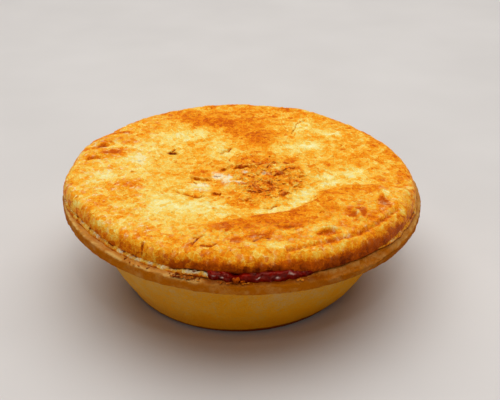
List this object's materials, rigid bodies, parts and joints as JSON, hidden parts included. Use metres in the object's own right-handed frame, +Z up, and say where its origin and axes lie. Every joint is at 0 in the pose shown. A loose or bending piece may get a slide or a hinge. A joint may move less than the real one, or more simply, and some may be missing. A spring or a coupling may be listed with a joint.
{
  "type": "beef pie",
  "caption": "Single-serve round beef pie: a flared shortcrust case, beef and gravy filling that has bubbled out at the front of the rim, and a browned, flaky puff pastry lid.",
  "frame": {"origin": "centre of the case's flat foot, on the surface that the pie stands on", "axes": "+Z up through the lid, -Y towards the front, where gravy has come out under the lid, +X to the right as seen from the front"},
  "size_m": [0.1201, 0.12, 0.0406],
  "materials": {
    "shortcrust": "baked shortcrust pastry, matt, tan at the neck and golden at the foot",
    "gravy": "thick beef gravy, dark red-brown and wet",
    "puff_pastry": "glazed puff pastry, golden with brown patches, soft sheen"
  },
  "bodies": {
    "root": {"case": "shortcrust", "filling": "gravy", "lid": "puff_pastry"}
  },
  "joints": []
}
